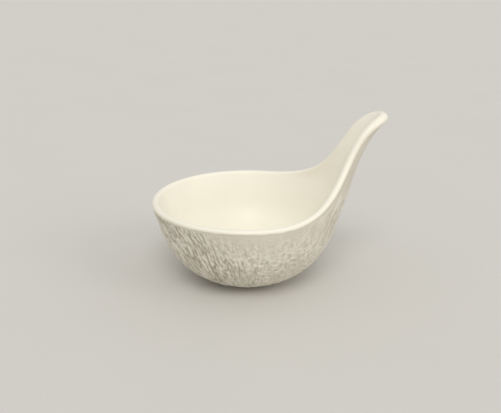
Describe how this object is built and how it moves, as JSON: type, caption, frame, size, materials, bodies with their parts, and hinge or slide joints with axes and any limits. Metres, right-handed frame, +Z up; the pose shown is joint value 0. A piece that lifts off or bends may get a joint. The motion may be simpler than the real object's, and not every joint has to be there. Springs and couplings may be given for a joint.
{
  "type": "caviar spoon",
  "caption": "Round ceramic tasting spoon with a rough-textured outside; its smooth glazed wall rises on one side into a channelled handle that hooks over at the tip.",
  "frame": {"origin": "middle of the standing face, on the bowl's own axis, at table level", "axes": "+Z up along the bowl's axis, +X from the bowl's axis towards the handle, +Y to the left when looking along +X"},
  "size_m": [0.0997, 0.0828, 0.0733],
  "materials": {
    "biscuit": "matte",
    "foot": "matte",
    "glaze": "satin"
  },
  "bodies": {
    "root": {"bowl": "biscuit", "handle": "biscuit", "foot_ring": "foot", "glaze_coat": "glaze"}
  },
  "joints": []
}
